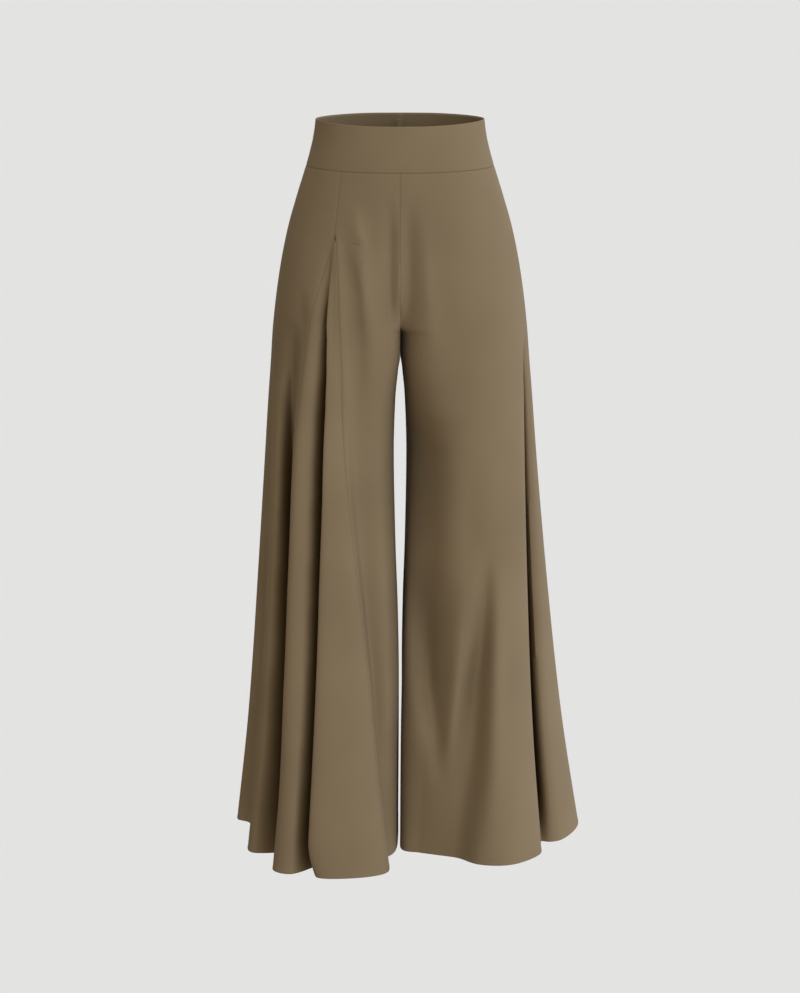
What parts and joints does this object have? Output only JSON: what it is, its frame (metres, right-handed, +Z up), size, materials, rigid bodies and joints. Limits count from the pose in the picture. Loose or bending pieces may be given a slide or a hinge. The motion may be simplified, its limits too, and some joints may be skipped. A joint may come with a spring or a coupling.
{
  "type": "palazzo pants",
  "caption": "High-waisted palazzo pants with a contoured waistband, a pointed godet in one front leg and wide fluted hems, worn on the lower body.",
  "frame": {"origin": "middle of the waist opening, level with the waistband's top edge at the sides", "axes": "+X to the wearer's left, -Y to the wearer's front, +Z up"},
  "size_m": [0.5202, 0.4278, 1.0682],
  "materials": {
    "cloth": "matt olive brown crepe suiting with a soft sheen",
    "waistband": "the same crepe, stiffened and edge stitched",
    "zip_tape": "plain woven nylon tape",
    "zip_metal": "satin enamel, dyed to match"
  },
  "bodies": {
    "pants": {"waistband_front": "waistband", "waistband_back_left": "waistband", "waistband_back_right": "waistband", "front_left": "cloth", "back_left": "cloth", "front_centre_right": "cloth", "godet_right": "cloth", "front_side_right": "cloth", "back_right": "cloth", "zip_tape": "zip_tape", "zip_slider": "zip_metal"},
    "pull": {"zip_pull": "zip_metal"}
  },
  "joints": [
    {"name": "pull_swing", "type": "hinge", "parent": "pants", "child": "pull", "pos_m": [0, 0.09169, -0.01111], "axis": [1, 0, 0], "range_deg": [0, 150]}
  ]
}
